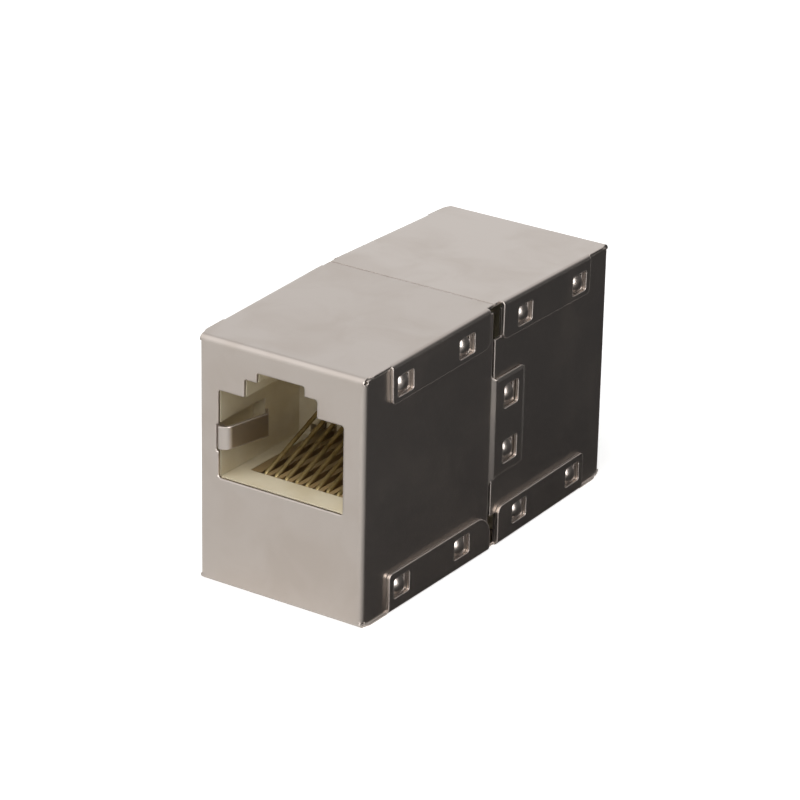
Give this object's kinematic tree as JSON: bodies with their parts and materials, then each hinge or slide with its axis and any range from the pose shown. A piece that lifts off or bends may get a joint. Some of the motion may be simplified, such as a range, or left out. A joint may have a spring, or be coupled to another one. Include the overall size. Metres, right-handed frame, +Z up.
{
  "type": "rj45 inline coupler",
  "caption": "Inline coupler with back-to-back shielded modular sockets in folded sheet-metal shells closed by snap lances.",
  "frame": {"origin": "centre of the underside, midway between the two socket faces", "axes": "+Y from the front socket to the rear socket, +Z up towards the latch notches, +X across the coupler so that the frame is right-handed"},
  "size_m": [0.017, 0.0368, 0.022],
  "materials": {
    "nickel_sheet": "satin nickel plate",
    "ivory_plastic": "moulded",
    "gold_wire": "gold flash",
    "board_laminate": "solder mask"
  },
  "bodies": {
    "root": {"front_shell": "nickel_sheet", "front_jack_housing": "ivory_plastic", "front_contact_carrier": "ivory_plastic", "front_contact_1": "gold_wire", "front_contact_2": "gold_wire", "front_contact_3": "gold_wire", "front_contact_4": "gold_wire", "front_contact_5": "gold_wire", "front_contact_6": "gold_wire", "front_contact_7": "gold_wire", "front_contact_8": "gold_wire", "rear_shell": "nickel_sheet", "rear_jack_housing": "ivory_plastic", "rear_contact_carrier": "ivory_plastic", "rear_contact_1": "gold_wire", "rear_contact_2": "gold_wire", "rear_contact_3": "gold_wire", "rear_contact_4": "gold_wire", "rear_contact_5": "gold_wire", "rear_contact_6": "gold_wire", "rear_contact_7": "gold_wire", "rear_contact_8": "gold_wire", "circuit_board": "board_laminate"}
  },
  "joints": []
}
